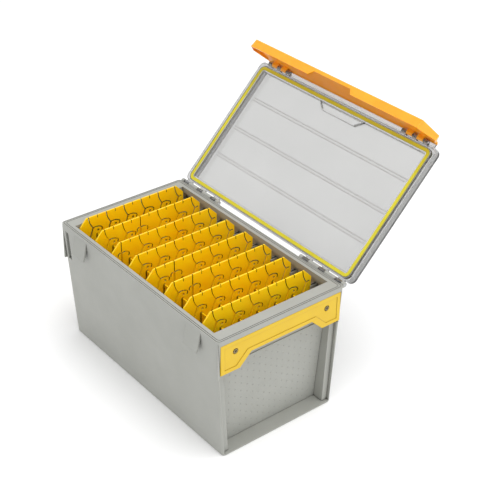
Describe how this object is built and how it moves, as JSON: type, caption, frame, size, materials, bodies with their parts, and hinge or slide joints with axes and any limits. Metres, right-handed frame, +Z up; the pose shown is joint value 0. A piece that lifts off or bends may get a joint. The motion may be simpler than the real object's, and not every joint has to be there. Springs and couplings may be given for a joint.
{
  "type": "tackle storage box",
  "caption": "Tall drafted storage box with a clear hinged lid, full-length latch, end grips and lift-out slotted racks for hanging lures.",
  "frame": {"origin": "centre of the box's flat underside", "axes": "+X along the length, +Y from the latch side to the hinge side, +Z up; lid stored open"},
  "size_m": [0.38, 0.3868, 0.387],
  "materials": {
    "grey_body": "fine moulded satin",
    "clear_lid": "clear polycarbonate",
    "yellow_grip": "satin",
    "yellow_latch": "semi-gloss",
    "yellow_rack": "satin",
    "seal": "soft",
    "pin_steel": "drawn stainless",
    "screw_steel": "passivated"
  },
  "bodies": {
    "tub": {"case": "grey_body", "grip_left": "yellow_grip", "grip_right": "yellow_grip", "grip_screws_left": "screw_steel", "grip_screws_right": "screw_steel", "lid_pin_left": "pin_steel", "lid_pin_right": "pin_steel"},
    "lid": {"lid": "clear_lid", "lid_seal": "seal", "latch_pin_left": "pin_steel", "latch_pin_right": "pin_steel"},
    "latch": {"latch": "yellow_latch"},
    "rack_1_body": {"rack_1": "yellow_rack"},
    "rack_2_body": {"rack_2": "yellow_rack"},
    "rack_3_body": {"rack_3": "yellow_rack"},
    "rack_4_body": {"rack_4": "yellow_rack"},
    "rack_5_body": {"rack_5": "yellow_rack"},
    "rack_6_body": {"rack_6": "yellow_rack"},
    "rack_7_body": {"rack_7": "yellow_rack"},
    "rack_8_body": {"rack_8": "yellow_rack"}
  },
  "joints": [
    {"name": "lid_hinge", "type": "hinge", "parent": "tub", "child": "lid", "pos_m": [0, 0.108, 0.1895], "axis": [-1, 0, 0], "range_deg": [-134.4, 0]},
    {"name": "latch_hinge", "type": "hinge", "parent": "lid", "child": "latch", "pos_m": [0, 0.26208, 0.34541], "axis": [-1, 0, 0], "range_deg": [-10, 30]},
    {"name": "rack_1_lift", "type": "slide", "parent": "tub", "child": "rack_1_body", "axis": [0, 0, 1], "range_m": [0, 0.2]},
    {"name": "rack_2_lift", "type": "slide", "parent": "tub", "child": "rack_2_body", "axis": [0, 0, 1], "range_m": [0, 0.2]},
    {"name": "rack_3_lift", "type": "slide", "parent": "tub", "child": "rack_3_body", "axis": [0, 0, 1], "range_m": [0, 0.2]},
    {"name": "rack_4_lift", "type": "slide", "parent": "tub", "child": "rack_4_body", "axis": [0, 0, 1], "range_m": [0, 0.2]},
    {"name": "rack_5_lift", "type": "slide", "parent": "tub", "child": "rack_5_body", "axis": [0, 0, 1], "range_m": [0, 0.2]},
    {"name": "rack_6_lift", "type": "slide", "parent": "tub", "child": "rack_6_body", "axis": [0, 0, 1], "range_m": [0, 0.2]},
    {"name": "rack_7_lift", "type": "slide", "parent": "tub", "child": "rack_7_body", "axis": [0, 0, 1], "range_m": [0, 0.2]},
    {"name": "rack_8_lift", "type": "slide", "parent": "tub", "child": "rack_8_body", "axis": [0, 0, 1], "range_m": [0, 0.2]}
  ]
}
